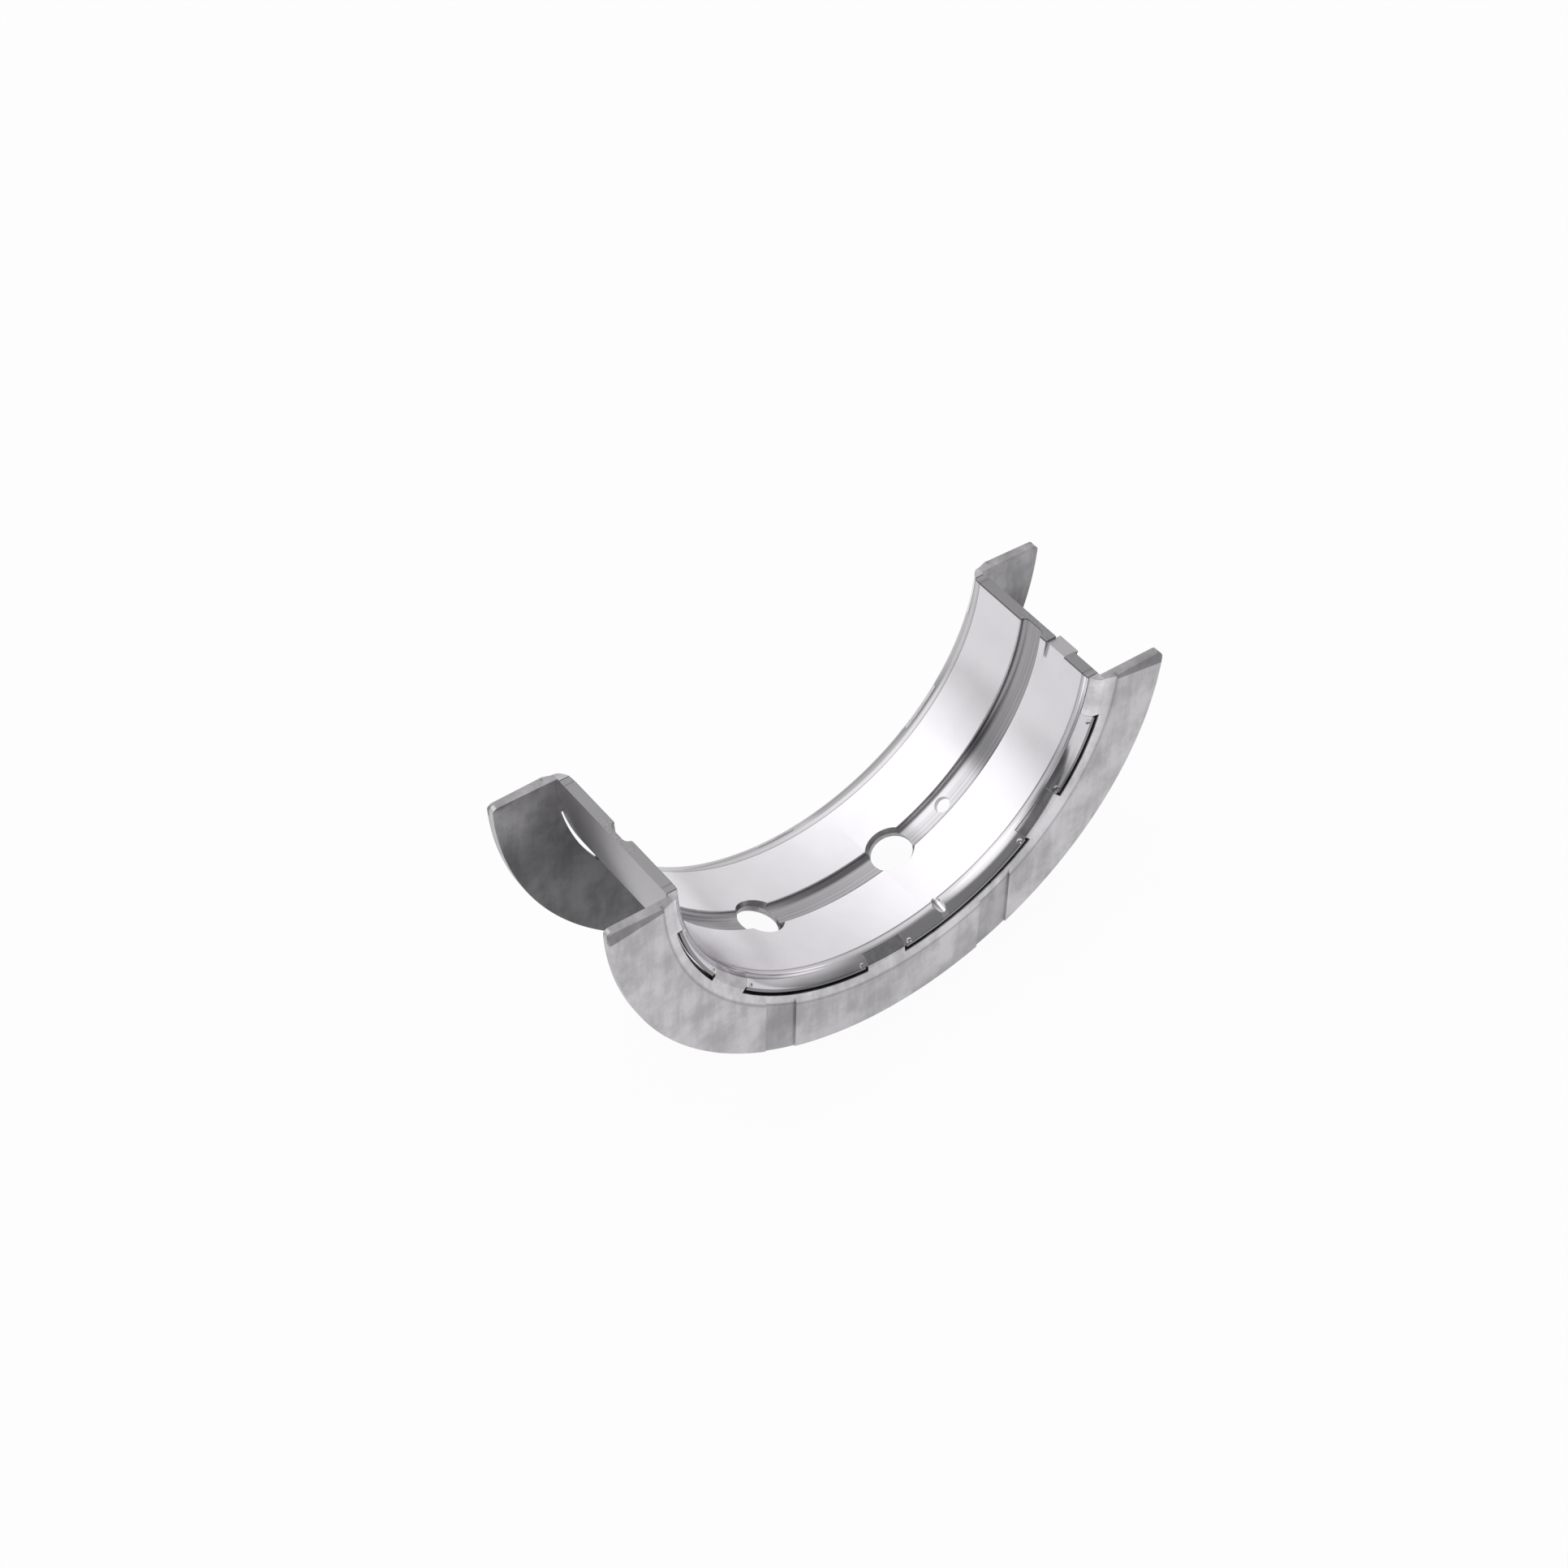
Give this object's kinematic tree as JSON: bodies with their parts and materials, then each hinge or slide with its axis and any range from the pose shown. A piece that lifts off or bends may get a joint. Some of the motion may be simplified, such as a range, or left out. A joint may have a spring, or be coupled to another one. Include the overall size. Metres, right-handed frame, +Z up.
{
  "type": "engine bearing shell",
  "caption": "Flanged half shell of an engine main bearing: thin round wall with an oil groove, oil holes, a locating lug and a thrust flange hooked into each end.",
  "frame": {"origin": "centre of the bore, midway between the two thrust faces", "axes": "+Y along the bore, from the front thrust face to the rear one; +Z up out of the open side; +X towards the joint face with the locating lug"},
  "size_m": [0.1148, 0.0362, 0.0555],
  "materials": {
    "shell_lining": "satin silver bore lining on a plain steel back, fine-bored, lightly mottled",
    "thrust_flange": "dull grey, softly mottled and streaked, brighter at its edges"
  },
  "bodies": {
    "root": {"bearing_shell": "shell_lining", "front_thrust_flange": "thrust_flange", "rear_thrust_flange": "thrust_flange"}
  },
  "joints": []
}
